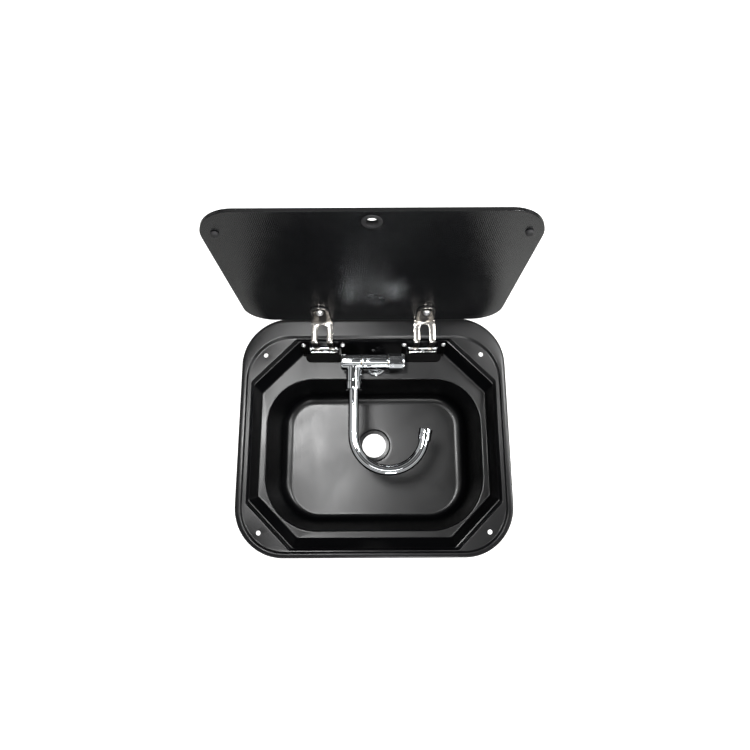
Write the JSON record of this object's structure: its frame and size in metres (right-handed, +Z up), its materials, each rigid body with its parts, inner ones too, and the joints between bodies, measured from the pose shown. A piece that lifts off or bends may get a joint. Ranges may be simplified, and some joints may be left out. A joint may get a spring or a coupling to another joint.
{
  "type": "rv sink with glass lid",
  "caption": "Drop-in caravan sink: pressed black steel basin, hinged smoked glass lid and a folding chrome cold tap with a hooked spout.",
  "frame": {"origin": "centre of the rim's outline, at the height of the worktop's top face", "axes": "+X to the user's right, +Y to the rear where the lid is hinged, +Z up out of the worktop"},
  "size_m": [0.42, 0.3999, 0.4347],
  "materials": {
    "black_steel": "satin black enamel",
    "black_paint": "satin black",
    "polished_steel": "polished",
    "chrome": "bright",
    "brass": "machined",
    "rubber": "matt",
    "plastic": "matt",
    "glass": "smoked, polished"
  },
  "bodies": {
    "basin": {"sink_bowl": "black_steel", "rim_seal": "rubber", "hinge_base_left": "black_paint", "hinge_base_right": "black_paint", "hinge_bracket_left": "polished_steel", "hinge_bracket_right": "polished_steel", "hinge_rivet_left": "polished_steel", "hinge_rivet_right": "polished_steel", "hinge_screw_left_outer": "polished_steel", "hinge_screw_left_inner": "polished_steel", "hinge_screw_right_outer": "polished_steel", "hinge_screw_right_inner": "polished_steel", "hinge_nut_left_outer": "polished_steel", "hinge_nut_left_inner": "polished_steel", "hinge_nut_right_outer": "polished_steel", "hinge_nut_right_inner": "polished_steel", "tap_base_flange": "chrome", "tap_base_gasket": "rubber", "tap_shank": "brass", "shank_washer": "rubber", "shank_nut": "brass", "hose_tail": "brass", "hose_union_nut": "brass", "tap_body": "chrome", "valve_cartridge": "brass", "cartridge_o_ring": "rubber", "cartridge_nut": "brass", "swivel_journal": "brass", "journal_o_ring_1": "rubber", "journal_o_ring_2": "rubber", "journal_nut": "brass"},
    "left_hinge_pin": {"hinge_pin_left": "polished_steel"},
    "right_hinge_pin": {"hinge_pin_right": "polished_steel"},
    "lid": {"glass_lid": "glass", "finger_grommet": "rubber", "hinge_arm_left": "polished_steel", "hinge_arm_right": "polished_steel", "glass_pad_left": "rubber", "glass_pad_right": "rubber", "lid_bolt_left": "polished_steel", "lid_bolt_right": "polished_steel", "lid_washer_left": "rubber", "lid_washer_right": "rubber", "lid_cap_nut_left": "polished_steel", "lid_cap_nut_right": "polished_steel", "lid_bumper_left": "rubber", "lid_bumper_right": "rubber"},
    "tap_knob": {"knob": "chrome", "knob_end_cap": "chrome", "knob_screw": "polished_steel", "valve_spindle": "brass"},
    "tap_head": {"swivel_head": "chrome", "head_end_cap": "chrome", "spout_collar": "chrome", "spout_o_ring": "rubber"},
    "spout": {"spout_pipe": "chrome", "spout_bush": "plastic", "aerator_housing": "chrome", "aerator_insert": "plastic"}
  },
  "joints": [
    {"name": "lid_hinge", "type": "hinge", "parent": "basin", "child": "lid", "pos_m": [0, 0.143, -0.0278], "axis": [-1, 0, 0], "range_deg": [-96, 0]},
    {"name": "left_pin_spin", "type": "hinge", "parent": "basin", "child": "left_hinge_pin", "pos_m": [-0.0825, 0.143, -0.0278], "axis": [1, 0, 0], "continuous": true},
    {"name": "right_pin_spin", "type": "hinge", "parent": "basin", "child": "right_hinge_pin", "pos_m": [0.0825, 0.143, -0.0278], "axis": [1, 0, 0], "continuous": true},
    {"name": "knob_turn", "type": "hinge", "parent": "basin", "child": "tap_knob", "pos_m": [0.037, 0.1158, -0.014], "axis": [1, 0, 0], "range_deg": [0, 90]},
    {"name": "tap_fold", "type": "hinge", "parent": "basin", "child": "tap_head", "pos_m": [-0.032, 0.1158, -0.014], "axis": [-1, 0, 0], "range_deg": [0, 90]},
    {"name": "spout_swivel", "type": "hinge", "parent": "tap_head", "child": "spout", "pos_m": [-0.032, 0, -0.014], "axis": [0, 1, 0], "range_deg": [0, 180]}
  ]
}
